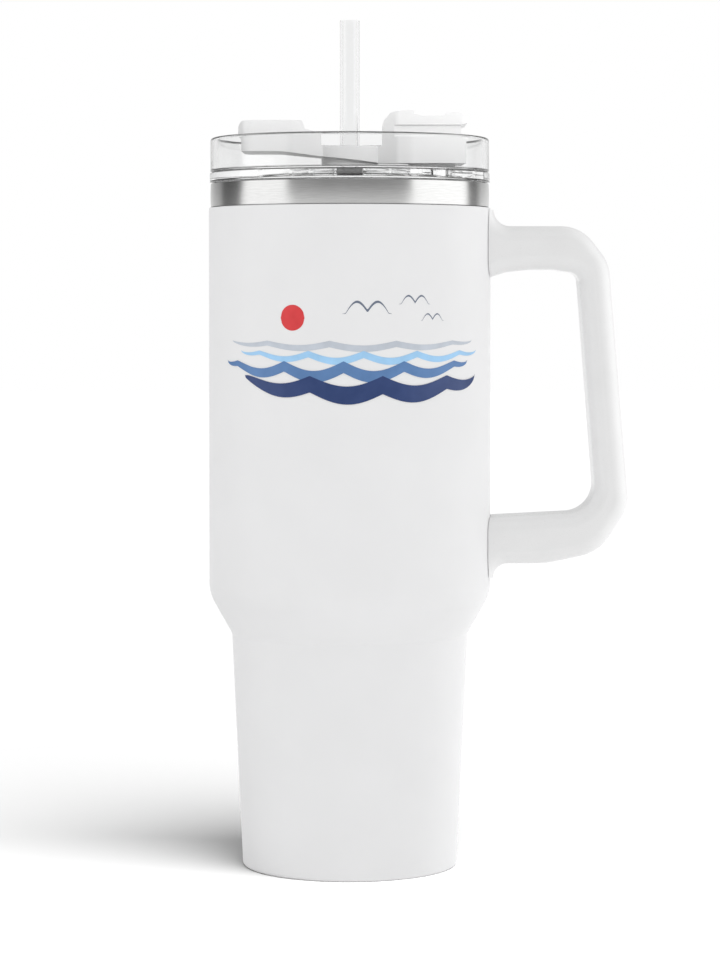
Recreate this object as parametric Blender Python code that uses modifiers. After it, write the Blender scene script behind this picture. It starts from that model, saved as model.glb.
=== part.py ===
# Handled insulated tumbler with a clear straw lid, in metres with +Z up.
# The cup's axis is Z and its base stands on z = 0. The handle points to +X,
# and the side that carries the print faces -Y.

import math

import bpy
import bmesh

# Shared sizes
GAP = 0.0003                # clearance between solids that meet
STEPS = 48                  # facets round a turned piece
STRAW_STEPS = 24            # facets round the straw and its grommet
ARC_ANGLE = math.radians(18)  # largest turn between two points of a rounded corner
FLAT_ANGLE = 0.005          # faces that differ by less than this are one flat face

# White coated body
SHEET = 0.0008              # steel sheet of the walls
BODY_RADIUS = 0.04975
BODY_TOP = 0.2325           # the coating stops here, below the bare rim
SHOULDER_TOP = 0.0965       # where the wide part starts to draw in
SHOULDER_TOP_FILLET = 0.015
SHOULDER_FOOT = 0.0822
SHOULDER_FOOT_FILLET = 0.003
TAPER_RADIUS = 0.0417       # widest point of the tapered foot
FOOT_RADIUS = 0.0379
FOOT_FILLET = 0.0011
FOOT_HOLE_RADIUS = 0.0345   # the base disc closes this hole

# Bare steel rim and inner wall
RIM_RADIUS = 0.0492
RIM_WALL = 0.0012
LIP_TOP = 0.2409
LIP_DEPTH = 0.0030            # the liner's lip turns down inside the band
LIP_RADIUS = RIM_RADIUS - RIM_WALL - GAP
LINER_RADIUS = 0.0459
LINER_SHOULDER_RISE = 0.002   # the inner shoulder sits this much above the outer one
LINER_SHOULDER_TOP_FILLET = 0.010
LINER_SHOULDER_FOOT_FILLET = 0.006
LINER_TAPER_RADIUS = 0.0379
LINER_FOOT_RADIUS = 0.0345
LINER_FLOOR = 0.008
LINER_FLOOR_FILLET = 0.008

# Base disc
DISC_THICKNESS = 0.0012

# Handle. Its corners lie in the XZ plane and are (x, z, rounding).
HANDLE_HALF_DEPTH = 0.0120
HANDLE_EDGE = 0.0052          # rounding of the long edges
HANDLE_ROOT_X = 0.036         # the roots start inside the cup and are trimmed to it
HANDLE_FACE_X = 0.0506        # root plates, just outside the body
ROOT_TOP = 0.2322
ROOT_FOOT = 0.1010
UPPER_ARM_TOP = 0.2260
UPPER_ARM_FOOT = 0.2107
UPPER_ROOT_FOOT = 0.2082
LOWER_ARM_TOP = 0.1230
LOWER_ARM_FOOT = 0.1072
UPPER_FLARE = (HANDLE_FACE_X, UPPER_ARM_TOP, 0.0058)
UPPER_BEND = (0.0813, UPPER_ARM_TOP, 0.0140)
GRIP_TOP_OUTER = (0.0912, 0.2130, 0.0140)
GRIP_FOOT_OUTER = (0.0983, 0.1273, 0.0125)
LOWER_BEND = (0.0880, 0.1113, 0.0160)
LOWER_ARM_BEND = (0.0690, 0.1073, 0.0300)
LOWER_FLARE = (HANDLE_FACE_X, LOWER_ARM_FOOT, 0.0050)
GRIP_FOOT_INNER = (0.0869, 0.1256, 0.0100)
GRIP_TOP_INNER = (0.0804, 0.2094, 0.0038)
UPPER_UNDERSIDE = [           # from the grip back to the cup
    (0.0715, UPPER_ARM_FOOT, 0.0100),
    (0.0635, UPPER_ARM_FOOT, 0.0100),
    (0.0548, 0.2098, 0.0100),
    (0.0500, UPPER_ROOT_FOOT, 0.0040),
]
CUTTER_TOP = 0.2400           # the body cutter that trims both roots
CUTTER_FOOT = 0.0900

# Clear lid
LID_RADIUS = 0.0492
LID_TOP = 0.2571
LID_WALL = 0.0022
FLANGE_RADIUS = 0.0494
FLANGE_TOP = 0.2446
FLANGE_STEP = 0.0003          # small step between the flange and the wall
FLOOR_TOP = 0.2446
FLOOR_FOOT = 0.2424
PLUG_RADIUS = 0.0444
PLUG_WALL = 0.0030
PLUG_FOOT = 0.2330
SEAL_TOP = 0.2399             # groove for the seal ring, in the plug
SEAL_FOOT = 0.2357
SEAL_DEPTH = 0.0014
SEAL_LIP_RADIUS = LINER_RADIUS - SHEET - GAP
SEAL_LIP_EDGE = 0.0003
SEAL_NECK = 0.0008            # depth of the ring between its two lips
BOSS_RADIUS = 0.0070          # centre tube that the cover turns on
BOSS_BORE = 0.0049
BOSS_TOP = 0.2529
BOSS_FOOT = 0.2414

# Sip opening in the lid's floor, below the cover's knob
SIP_CENTRE_X = 0.0290
SIP_HALF_LENGTH = 0.0050
SIP_HALF_WIDTH = 0.0075
SIP_CORNER = 0.0040
SIP_CUT_HALF_HEIGHT = 0.0040

# Straw and the grommet that holds it
STRAW_RADIUS = 0.00345
STRAW_BORE = 0.0026
STRAW_TOP = 0.2987
STRAW_FOOT = 0.0140
GROMMET_RADIUS = BOSS_BORE - GAP
GROMMET_FLANGE_RADIUS = 0.0095
GROMMET_BEAD_RADIUS = 0.0058
GROMMET_BEAD_DEPTH = 0.0012
GROMMET_BEAD_EDGE = 0.0005

# Swivelling cover
COVER_FOOT = FLOOR_TOP + GAP    # the bearing ring turns on the lid's floor
BEARING_RADIUS = 0.0100
BEARING_TOP = 0.2520          # inside the deck, which it is joined to
KNOB_FOOT = 0.2478
TAB_FOOT = 0.2520
SLOPE_START_X = -0.0240       # the underside slopes from the tab down to the knob
SLOPE_END_X = 0.0125
SLOPE_BEND = 0.0200
DECK_TOP = 0.2540             # flat deck round the straw
DECK_START_X = -0.0102
COVER_TOP = 0.2690            # above the highest point of the cover
HUB_RADIUS = 0.0130
HUB_RECESS_RADIUS = GROMMET_FLANGE_RADIUS + GAP
KNOB_OUTLINE = [              # side view from the outer end to the deck: x, z, rounding
    (0.0402, KNOB_FOOT),
    (0.0402, 0.2560),
    (0.0388, 0.2570),
    (0.0388, 0.2612),
    (0.0410, 0.2618),
    (0.0409, 0.2641, 0.0010),
    (0.0382, 0.2655),
    (0.0339, 0.2656),
    (0.0326, 0.2644),
    (0.0255, 0.2643),
    (0.0225, 0.2650),
    (0.0224, 0.2662),
    (0.0195, 0.2664),
    (0.0143, 0.2656, 0.0020),
    (0.0116, 0.2625, 0.0020),
    (0.0116, DECK_TOP, 0.0012),
]
TAB_OUTLINE = [               # side view from the deck to the tab's outer end
    (DECK_START_X, DECK_TOP),
    (DECK_START_X, 0.2585, 0.0004),
    (-0.0157, 0.2601),
    (-0.0167, 0.2629),
    (-0.0392, 0.2629, 0.0026),
    (-0.0392, 0.2575, 0.0010),
    (-0.0378, 0.2563),
    (-0.0376, TAB_FOOT),
]
KNOB_PLAN = [                 # half of the knob's plan: x, y, rounding
    (0.0430, 0.0),
    (0.0430, 0.0140, 0.0040),
    (0.0165, 0.0140, 0.0025),
]
KNOB_ROOT_HALF_DEPTH = 0.0085   # where the knob's plan meets the hub
TAB_PLAN = [
    (-0.0200, 0.0130, 0.0040),
    (-0.0372, 0.0130, 0.0050),
    (-0.0410, 0.0),
]
TAB_ROOT_HALF_DEPTH = 0.0090
COVER_HALF_DEPTH = 0.020      # the side outline is this deep before it is trimmed in plan

# Soft pad below the knob, which closes the sip opening
PAD_HALF_LENGTH = 0.0082
PAD_HALF_WIDTH = 0.0092
PAD_SUNK = 0.0010             # depth of its pocket in the knob
PAD_CORNER = 0.0045

# Colour, roughness, metallic and transmission of each finish
FINISHES = {
    "white_coating": ((0.83, 0.83, 0.84), 0.32, 0.0, 0.0),
    "bare_steel": ((0.62, 0.62, 0.61), 0.22, 1.0, 0.0),
    "white_plastic": ((0.86, 0.86, 0.86), 0.28, 0.0, 0.0),
    "clear_plastic": ((0.93, 0.95, 0.95), 0.05, 0.0, 0.9),
    "frosted_plastic": ((0.88, 0.89, 0.89), 0.30, 0.0, 0.6),
    "silicone": ((0.78, 0.79, 0.79), 0.55, 0.0, 0.2),
}


def clear_scene():
    for old in list(bpy.data.objects):
        bpy.data.objects.remove(old, do_unlink=True)


def new_collection(name):
    collection = bpy.data.collections.new(name)
    bpy.context.scene.collection.children.link(collection)
    return collection


def make_materials():
    materials = {}
    for name, (colour, roughness, metallic, transmission) in FINISHES.items():
        material = bpy.data.materials.new(name)
        material.use_nodes = True
        shader = material.node_tree.nodes["Principled BSDF"]
        shader.inputs["Base Color"].default_value = (*colour, 1.0)
        shader.inputs["Roughness"].default_value = roughness
        shader.inputs["Metallic"].default_value = metallic
        shader.inputs["Transmission Weight"].default_value = transmission
        materials[name] = material
    return materials


def arc(centre, radius, start, end):
    # Points of an arc in degrees, both ends included.
    count = max(2, math.ceil(math.radians(abs(end - start)) / ARC_ANGLE))
    points = []
    for i in range(count + 1):
        angle = math.radians(start + (end - start) * i / count)
        points.append((centre[0] + radius * math.cos(angle), centre[1] + radius * math.sin(angle)))
    return points


def fillet(before, corner, after, radius):
    # The arc that rounds one corner between its neighbours.
    ax, ay = before[0] - corner[0], before[1] - corner[1]
    bx, by = after[0] - corner[0], after[1] - corner[1]
    a_length, b_length = math.hypot(ax, ay), math.hypot(bx, by)
    ax, ay, bx, by = ax / a_length, ay / a_length, bx / b_length, by / b_length
    between = math.acos(max(-1.0, min(1.0, ax * bx + ay * by)))
    reach = radius / math.tan(between / 2)
    middle_x, middle_y = ax + bx, ay + by
    scale = radius / math.sin(between / 2) / math.hypot(middle_x, middle_y)
    centre = (corner[0] + middle_x * scale, corner[1] + middle_y * scale)
    first = (corner[0] + ax * reach, corner[1] + ay * reach)
    last = (corner[0] + bx * reach, corner[1] + by * reach)
    start = math.degrees(math.atan2(first[1] - centre[1], first[0] - centre[0]))
    end = math.degrees(math.atan2(last[1] - centre[1], last[0] - centre[0]))
    if end - start > 180:
        end -= 360
    if start - end > 180:
        end += 360
    return arc(centre, radius, start, end)


def rounded(corners, closed=True):
    # Corners are (x, z) or (x, z, fillet radius).
    points = []
    for i, corner in enumerate(corners):
        inner = closed or 0 < i < len(corners) - 1
        if len(corner) == 3 and inner:
            points += fillet(corners[i - 1], corner, corners[(i + 1) % len(corners)], corner[2])
        else:
            points.append(corner[:2])
    return points


def finish_object(obj, collection, material=None):
    collection.objects.link(obj)
    if material:
        obj.data.materials.clear()
        obj.data.materials.append(material)
    else:
        obj.hide_render = True
        obj.display_type = "WIRE"
    return obj


def turned(name, profile, collection, material=None, closed=True, steps=STEPS):
    # The profile runs down its outer side and up its inner one.
    edges = [(i, i + 1) for i in range(len(profile) - 1)]
    if closed:
        edges.append((len(profile) - 1, 0))
    mesh = bpy.data.meshes.new(name)
    mesh.from_pydata([(x, 0.0, z) for x, z in profile], edges, [])
    obj = bpy.data.objects.new(name, mesh)
    screw = obj.modifiers.new("turn", "SCREW")
    screw.axis = "Z"
    screw.angle = math.tau
    screw.steps = steps
    screw.render_steps = steps
    screw.use_merge_vertices = True
    screw.merge_threshold = 0.00001
    screw.use_smooth_shade = True
    return finish_object(obj, collection, material)


def slab(name, outline, half_depth, collection, material=None, upright=True, height=0.0):
    # A flat outline with thickness: upright ones lie in XZ, the others in XY.
    curve = bpy.data.curves.new(name, "CURVE")
    curve.dimensions = "2D"
    curve.fill_mode = "BOTH"
    curve.extrude = half_depth
    spline = curve.splines.new("POLY")
    spline.points.add(len(outline) - 1)
    for point, (x, y) in zip(spline.points, outline):
        point.co = (x, y, 0.0, 1.0)
    spline.use_cyclic_u = True
    guide = bpy.data.objects.new(name + "_curve", curve)
    bpy.context.scene.collection.objects.link(guide)
    evaluated = guide.evaluated_get(bpy.context.evaluated_depsgraph_get())
    mesh = bpy.data.meshes.new_from_object(evaluated)
    bpy.data.objects.remove(guide, do_unlink=True)
    flat = bmesh.new()
    flat.from_mesh(mesh)
    bmesh.ops.remove_doubles(flat, verts=flat.verts, dist=0.000001)
    bmesh.ops.dissolve_limit(flat, angle_limit=FLAT_ANGLE, verts=flat.verts, edges=flat.edges)
    bmesh.ops.recalc_face_normals(flat, faces=flat.faces)
    flat.to_mesh(mesh)
    flat.free()
    mesh.name = name
    obj = bpy.data.objects.new(name, mesh)
    if upright:
        obj.rotation_euler = (math.radians(90), 0.0, 0.0)
    obj.location.z = height
    return finish_object(obj, collection, material)


def combine(obj, other, operation):
    boolean = obj.modifiers.new(operation.lower(), "BOOLEAN")
    boolean.operation = operation
    boolean.solver = "EXACT"
    boolean.object = other


def rounded_rectangle(centre_x, half_x, half_y, corner):
    left, right = centre_x - half_x, centre_x + half_x
    corners = [(left, -half_y), (right, -half_y), (right, half_y), (left, half_y)]
    return rounded([(x, y, corner) for x, y in corners])


# Cup

def make_shell(parts, materials):
    inner_radius = BODY_RADIUS - SHEET
    profile = rounded([
        (BODY_RADIUS, BODY_TOP),
        (BODY_RADIUS, SHOULDER_TOP, SHOULDER_TOP_FILLET),
        (TAPER_RADIUS, SHOULDER_FOOT, SHOULDER_FOOT_FILLET),
        (FOOT_RADIUS, 0.0, FOOT_FILLET),
        (FOOT_HOLE_RADIUS, 0.0),
        (FOOT_HOLE_RADIUS, SHEET),
        (FOOT_RADIUS - SHEET, SHEET, FOOT_FILLET - SHEET),
        (TAPER_RADIUS - SHEET, SHOULDER_FOOT, SHOULDER_FOOT_FILLET + SHEET),
        (inner_radius, SHOULDER_TOP, SHOULDER_TOP_FILLET - SHEET),
        (inner_radius, BODY_TOP),
    ])
    turned("outer_shell", profile, parts, materials["white_coating"])


def make_rim_band(parts, materials):
    foot = BODY_TOP + GAP
    profile = [
        (RIM_RADIUS, LIP_TOP),
        (RIM_RADIUS, foot),
        (RIM_RADIUS - RIM_WALL, foot),
        (RIM_RADIUS - RIM_WALL, LIP_TOP),
    ]
    turned("rim_band", profile, parts, materials["bare_steel"])


def make_liner(parts, materials):
    shoulder_foot = SHOULDER_FOOT + LINER_SHOULDER_RISE
    shoulder_top = SHOULDER_TOP + LINER_SHOULDER_RISE
    lip_foot = LIP_TOP - LIP_DEPTH
    profile = rounded([
        (0.0, LINER_FLOOR + SHEET),
        (LINER_FOOT_RADIUS - SHEET, LINER_FLOOR + SHEET, LINER_FLOOR_FILLET),
        (LINER_TAPER_RADIUS - SHEET, shoulder_foot, LINER_SHOULDER_FOOT_FILLET),
        (LINER_RADIUS - SHEET, shoulder_top, LINER_SHOULDER_TOP_FILLET),
        (LINER_RADIUS - SHEET, LIP_TOP, SHEET),
        (LIP_RADIUS, LIP_TOP),
        (LIP_RADIUS, lip_foot),
        (LIP_RADIUS - SHEET, lip_foot),
        (LIP_RADIUS - SHEET, LIP_TOP - SHEET),
        (LINER_RADIUS, LIP_TOP - SHEET),
        (LINER_RADIUS, shoulder_top, LINER_SHOULDER_TOP_FILLET + SHEET),
        (LINER_TAPER_RADIUS, shoulder_foot, LINER_SHOULDER_FOOT_FILLET - SHEET),
        (LINER_FOOT_RADIUS, LINER_FLOOR, LINER_FLOOR_FILLET + SHEET),
        (0.0, LINER_FLOOR),
    ], closed=False)
    turned("inner_liner", profile, parts, materials["bare_steel"], closed=False)


def make_base_disc(parts, materials):
    radius = FOOT_HOLE_RADIUS - GAP
    profile = [(0.0, DISC_THICKNESS), (radius, DISC_THICKNESS), (radius, 0.0), (0.0, 0.0)]
    turned("base_disc", profile, parts, materials["bare_steel"], closed=False)


def make_handle(parts, cutters, materials):
    outline = rounded([
        (HANDLE_ROOT_X, ROOT_TOP),
        (HANDLE_FACE_X, ROOT_TOP),
        UPPER_FLARE,
        UPPER_BEND,
        GRIP_TOP_OUTER,
        GRIP_FOOT_OUTER,
        LOWER_BEND,
        LOWER_ARM_BEND,
        LOWER_FLARE,
        (HANDLE_FACE_X, ROOT_FOOT),
        (HANDLE_ROOT_X, ROOT_FOOT),
        (HANDLE_ROOT_X, LOWER_ARM_TOP),
        GRIP_FOOT_INNER,
        GRIP_TOP_INNER,
        *UPPER_UNDERSIDE,
        (HANDLE_ROOT_X, UPPER_ROOT_FOOT),
    ])
    handle = slab("handle", outline, HANDLE_HALF_DEPTH, parts, materials["white_plastic"])
    bevel = handle.modifiers.new("long_edges", "BEVEL")
    bevel.width = HANDLE_EDGE
    bevel.use_clamp_overlap = False
    bevel.segments = 3
    bevel.limit_method = "ANGLE"
    bevel.angle_limit = math.radians(60)
    body_radius = BODY_RADIUS + GAP
    body = [(0.0, CUTTER_TOP), (body_radius, CUTTER_TOP), (body_radius, CUTTER_FOOT), (0.0, CUTTER_FOOT)]
    combine(handle, turned("body_cutter", body, cutters, closed=False), "DIFFERENCE")


# Lid

def make_lid_body(parts, cutters, materials):
    plug_inner = PLUG_RADIUS - PLUG_WALL
    wall_inner = LID_RADIUS - LID_WALL
    profile = rounded([
        (LID_RADIUS, LID_TOP, 0.0014),
        (LID_RADIUS, FLANGE_TOP + 2 * FLANGE_STEP),
        (LID_RADIUS - 2 * FLANGE_STEP, FLANGE_TOP + FLANGE_STEP),
        (FLANGE_RADIUS, FLANGE_TOP),
        (FLANGE_RADIUS, LIP_TOP + GAP),
        (PLUG_RADIUS, LIP_TOP + GAP),
        (PLUG_RADIUS, SEAL_TOP),
        (PLUG_RADIUS - SEAL_DEPTH, SEAL_TOP),
        (PLUG_RADIUS - SEAL_DEPTH, SEAL_FOOT),
        (PLUG_RADIUS, SEAL_FOOT),
        (PLUG_RADIUS, PLUG_FOOT, 0.0006),
        (plug_inner, PLUG_FOOT, 0.0006),
        (plug_inner, FLOOR_FOOT, 0.0015),
        (BOSS_RADIUS, FLOOR_FOOT),
        (BOSS_RADIUS, BOSS_FOOT),
        (BOSS_BORE, BOSS_FOOT),
        (BOSS_BORE, BOSS_TOP),
        (BOSS_RADIUS, BOSS_TOP),
        (BOSS_RADIUS, FLOOR_TOP),
        (wall_inner, FLOOR_TOP, 0.0015),
        (wall_inner, LID_TOP, 0.0006),
    ])
    lid = turned("lid_body", profile, parts, materials["clear_plastic"])
    sip = rounded_rectangle(SIP_CENTRE_X, SIP_HALF_LENGTH, SIP_HALF_WIDTH, SIP_CORNER)
    floor_middle = (FLOOR_TOP + FLOOR_FOOT) / 2
    cutter = slab("sip_cutter", sip, SIP_CUT_HALF_HEIGHT, cutters, upright=False, height=floor_middle)
    combine(lid, cutter, "DIFFERENCE")


def make_lid_seal(parts, materials):
    inner = PLUG_RADIUS - SEAL_DEPTH + GAP
    top, foot = SEAL_TOP - GAP, SEAL_FOOT + GAP
    profile = [
        (SEAL_LIP_RADIUS, top - SEAL_LIP_EDGE),
        (inner + SEAL_NECK, (top + foot) / 2),
        (SEAL_LIP_RADIUS, foot + SEAL_LIP_EDGE),
        (SEAL_LIP_RADIUS - SEAL_LIP_EDGE, foot),
        (inner, foot),
        (inner, top),
        (SEAL_LIP_RADIUS - SEAL_LIP_EDGE, top),
    ]
    turned("lid_seal", profile, parts, materials["silicone"])


def make_grommet(parts, materials):
    bore = STRAW_RADIUS + GAP
    flange_foot = BOSS_TOP + GAP
    bead_top = BOSS_FOOT - GAP
    profile = [
        (GROMMET_FLANGE_RADIUS, DECK_TOP),
        (GROMMET_FLANGE_RADIUS, flange_foot),
        (GROMMET_RADIUS, flange_foot),
        (GROMMET_RADIUS, bead_top),
        (GROMMET_BEAD_RADIUS, bead_top),
        (GROMMET_BEAD_RADIUS - GROMMET_BEAD_EDGE, bead_top - GROMMET_BEAD_DEPTH),
        (bore, bead_top - GROMMET_BEAD_DEPTH),
        (bore, DECK_TOP),
    ]
    turned("straw_grommet", profile, parts, materials["silicone"], steps=STRAW_STEPS)


def make_cover(parts, cutters, materials):
    # The knob is at the right, the low tab at the left, and the underside slopes between them.
    underside = [(SLOPE_START_X, TAB_FOOT, SLOPE_BEND), (SLOPE_END_X, KNOB_FOOT, SLOPE_BEND)]
    side = rounded(KNOB_OUTLINE + TAB_OUTLINE + underside)
    knob_meet = math.degrees(math.asin(KNOB_ROOT_HALF_DEPTH / HUB_RADIUS))
    tab_meet = 180 - math.degrees(math.asin(TAB_ROOT_HALF_DEPTH / HUB_RADIUS))
    half = KNOB_PLAN + arc((0.0, 0.0), HUB_RADIUS, knob_meet, tab_meet) + TAB_PLAN
    mirrored = [(corner[0], -corner[1], *corner[2:]) for corner in reversed(half[1:-1])]
    plan = rounded(half + mirrored)
    cover = slab("swivel_cover", side, COVER_HALF_DEPTH, parts, materials["white_plastic"])
    middle = (COVER_FOOT + COVER_TOP) / 2
    plan_block = slab("plan_trim", plan, COVER_HALF_DEPTH, cutters, upright=False, height=middle)
    combine(cover, plan_block, "INTERSECT")
    bearing = [(0.0, BEARING_TOP), (BEARING_RADIUS, BEARING_TOP), (BEARING_RADIUS, COVER_FOOT), (0.0, COVER_FOOT)]
    combine(cover, turned("bearing_ring", bearing, cutters, closed=False), "UNION")
    bore = BOSS_RADIUS + GAP
    hub = [
        (0.0, COVER_TOP),
        (HUB_RECESS_RADIUS, COVER_TOP),
        (HUB_RECESS_RADIUS, BOSS_TOP),
        (bore, BOSS_TOP),
        (bore, COVER_FOOT - 0.001),
        (0.0, COVER_FOOT - 0.001),
    ]
    combine(cover, turned("hub_cutter", hub, cutters, closed=False), "DIFFERENCE")
    pocket = rounded_rectangle(SIP_CENTRE_X, PAD_HALF_LENGTH + GAP, PAD_HALF_WIDTH + GAP, PAD_CORNER)
    pocket_cutter = slab("pad_pocket", pocket, PAD_SUNK + GAP, cutters, upright=False, height=KNOB_FOOT)
    combine(cover, pocket_cutter, "DIFFERENCE")


def make_sip_seal(parts, materials):
    outline = rounded_rectangle(SIP_CENTRE_X, PAD_HALF_LENGTH, PAD_HALF_WIDTH, PAD_CORNER)
    top = KNOB_FOOT + PAD_SUNK
    middle, half_height = (top + COVER_FOOT) / 2, (top - COVER_FOOT) / 2
    slab("sip_seal", outline, half_height, parts, materials["silicone"], False, middle)


def make_straw(parts, materials):
    profile = [
        (STRAW_RADIUS, STRAW_TOP),
        (STRAW_RADIUS, STRAW_FOOT),
        (STRAW_BORE, STRAW_FOOT),
        (STRAW_BORE, STRAW_TOP),
    ]
    turned("straw", profile, parts, materials["frosted_plastic"], steps=STRAW_STEPS)


def main():
    clear_scene()
    parts = new_collection("tumbler")
    cutters = new_collection("cutters")
    materials = make_materials()
    make_shell(parts, materials)
    make_rim_band(parts, materials)
    make_liner(parts, materials)
    make_base_disc(parts, materials)
    make_handle(parts, cutters, materials)
    make_lid_body(parts, cutters, materials)
    make_lid_seal(parts, materials)
    make_grommet(parts, materials)
    make_cover(parts, cutters, materials)
    make_sip_seal(parts, materials)
    make_straw(parts, materials)


main()
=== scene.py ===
import math

import bmesh
import bpy
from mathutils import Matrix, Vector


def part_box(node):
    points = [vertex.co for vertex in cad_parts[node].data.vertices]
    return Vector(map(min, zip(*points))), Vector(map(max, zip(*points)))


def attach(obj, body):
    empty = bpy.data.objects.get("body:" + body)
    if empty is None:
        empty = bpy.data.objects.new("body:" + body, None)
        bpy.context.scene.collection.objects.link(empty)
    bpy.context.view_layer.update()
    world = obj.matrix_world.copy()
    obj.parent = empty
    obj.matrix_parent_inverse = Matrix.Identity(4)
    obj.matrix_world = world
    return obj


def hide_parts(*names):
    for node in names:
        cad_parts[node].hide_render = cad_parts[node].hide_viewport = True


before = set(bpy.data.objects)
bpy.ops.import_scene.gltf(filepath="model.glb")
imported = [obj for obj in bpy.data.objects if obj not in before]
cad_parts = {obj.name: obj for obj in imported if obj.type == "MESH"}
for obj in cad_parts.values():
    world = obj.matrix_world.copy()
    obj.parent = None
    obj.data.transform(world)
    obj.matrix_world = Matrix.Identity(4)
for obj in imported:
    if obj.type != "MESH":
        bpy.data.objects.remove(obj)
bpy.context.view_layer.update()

# Fine surfaces, finishes, printed design, light and camera for a handled tumbler.
# All sizes are metres. The cup stands on z = 0, the handle points to +X, the print faces -Y.

scene = bpy.context.scene
scene.view_settings.view_transform = "Standard"


# Outlines and meshes

smooth = {
    "steps": 192,        # sides of a turned piece
    "cornerStep": 6.0,   # degrees between two points of a rounded corner
    "sharpAngle": 32.0,  # edges above this many degrees stay crisp
    "weld": 1e-7,
}


def arcPoints(centre, radius, start, end):
    count = max(2, math.ceil(abs(end - start) / smooth["cornerStep"]))
    angles = [math.radians(start + (end - start) * i / count) for i in range(count + 1)]
    return [(centre[0] + radius * math.cos(a), centre[1] + radius * math.sin(a)) for a in angles]


def filletPoints(before, corner, after, radius):
    # the arc that rounds one corner between its neighbours
    ax, ay = before[0] - corner[0], before[1] - corner[1]
    bx, by = after[0] - corner[0], after[1] - corner[1]
    aLength, bLength = math.hypot(ax, ay), math.hypot(bx, by)
    ax, ay, bx, by = ax / aLength, ay / aLength, bx / bLength, by / bLength
    between = math.acos(max(-1.0, min(1.0, ax * bx + ay * by)))
    reach = radius / math.tan(between / 2)
    scale = radius / math.sin(between / 2) / math.hypot(ax + bx, ay + by)
    centre = (corner[0] + (ax + bx) * scale, corner[1] + (ay + by) * scale)
    first = (corner[0] + ax * reach, corner[1] + ay * reach)
    last = (corner[0] + bx * reach, corner[1] + by * reach)
    start = math.degrees(math.atan2(first[1] - centre[1], first[0] - centre[0]))
    end = math.degrees(math.atan2(last[1] - centre[1], last[0] - centre[0]))
    if end - start > 180:
        end -= 360
    if start - end > 180:
        end += 360
    return arcPoints(centre, radius, start, end)


def roundCorners(corners, closed=True):
    # a corner is (x, z), or (x, z, radius) where it is rounded
    points = []
    for i, corner in enumerate(corners):
        inside = closed or 0 < i < len(corners) - 1
        if len(corner) == 3 and inside:
            points += filletPoints(corners[i - 1], corner, corners[(i + 1) % len(corners)], corner[2])
        else:
            points.append(corner[:2])
    return points


def roundedBox(centreX, halfX, halfY, radius):
    left, right = centreX - halfX, centreX + halfX
    corners = [(left, -halfY), (right, -halfY), (right, halfY), (left, halfY)]
    return roundCorners([(x, y, radius) for x, y in corners])


def newPiece(name, bm):
    bmesh.ops.remove_doubles(bm, verts=bm.verts, dist=smooth["weld"])
    bmesh.ops.recalc_face_normals(bm, faces=bm.faces)
    mesh = bpy.data.meshes.new(name)
    bm.to_mesh(mesh)
    bm.free()
    piece = bpy.data.objects.new(name, mesh)
    scene.collection.objects.link(piece)
    return piece


def turnPiece(name, profile, closed=True, steps=smooth["steps"]):
    # spins an outline in the XZ plane round the cup's axis
    bm = bmesh.new()
    verts = [bm.verts.new((x, 0.0, z)) for x, z in profile]
    edges = [bm.edges.new(pair) for pair in zip(verts, verts[1:])]
    if closed:
        edges.append(bm.edges.new((verts[-1], verts[0])))
    bmesh.ops.spin(bm, geom=verts + edges, axis=(0, 0, 1), cent=(0, 0, 0),
                   angle=math.tau, steps=steps, use_merge=True)
    return newPiece(name, bm)


def slabPiece(name, outline, low, high, upright=False):
    # a flat outline with thickness, along Z, or along Y when it stands upright
    bm = bmesh.new()
    if upright:
        verts = [bm.verts.new((x, low, z)) for x, z in outline]
    else:
        verts = [bm.verts.new((x, y, low)) for x, y in outline]
    face = bm.faces.new(verts)
    grown = bmesh.ops.extrude_face_region(bm, geom=[face])["geom"]
    top = [item for item in grown if isinstance(item, bmesh.types.BMVert)]
    shift = (0, high - low, 0) if upright else (0, 0, high - low)
    bmesh.ops.translate(bm, verts=top, vec=shift)
    return newPiece(name, bm)


def cutPiece(piece, tool, operation):
    cut = piece.modifiers.new(operation.lower(), "BOOLEAN")
    cut.operation = operation
    cut.solver = "EXACT"
    cut.object = tool


def softenEdges(piece, width, segments, angle=40.0, clamp=True):
    bevel = piece.modifiers.new("softEdges", "BEVEL")
    bevel.width = width
    bevel.segments = segments
    bevel.limit_method = "ANGLE"
    bevel.angle_limit = math.radians(angle)
    bevel.use_clamp_overlap = clamp


def freeze(piece, *tools):
    # the modifiers become the piece's own mesh, and the cutting tools go
    made = piece.evaluated_get(bpy.context.evaluated_depsgraph_get())
    mesh = bpy.data.meshes.new_from_object(made)
    piece.modifiers.clear()
    piece.data = mesh
    for tool in tools:
        bpy.data.objects.remove(tool, do_unlink=True)


def shadeSmooth(piece):
    piece.data.shade_smooth()
    piece.data.set_sharp_from_angle(angle=math.radians(smooth["sharpAngle"]))
    normals = piece.modifiers.new("faceNormals", "WEIGHTED_NORMAL")
    normals.keep_sharp = True


def fitPiece(piece, material, body, slotName, *nodes):
    shadeSmooth(piece)
    piece.data.materials.clear()
    piece.data.materials.append(material)
    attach(piece, body)
    if nodes:
        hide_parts(*nodes)
    return piece


# Finishes

def addNode(tree, kind, settings=None, **inputs):
    node = tree.nodes.new(kind)
    for key, value in (settings or {}).items():
        setattr(node, key, value)
    for key, value in inputs.items():
        node.inputs[key.replace("_", " ")].default_value = value
    return node


def newFinish(name, **sockets):
    material = bpy.data.materials.new(name)
    material.use_nodes = True
    shader = material.node_tree.nodes["Principled BSDF"]
    for key, value in sockets.items():
        shader.inputs[key.replace("_", " ")].default_value = value
    return material, material.node_tree, shader


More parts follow.
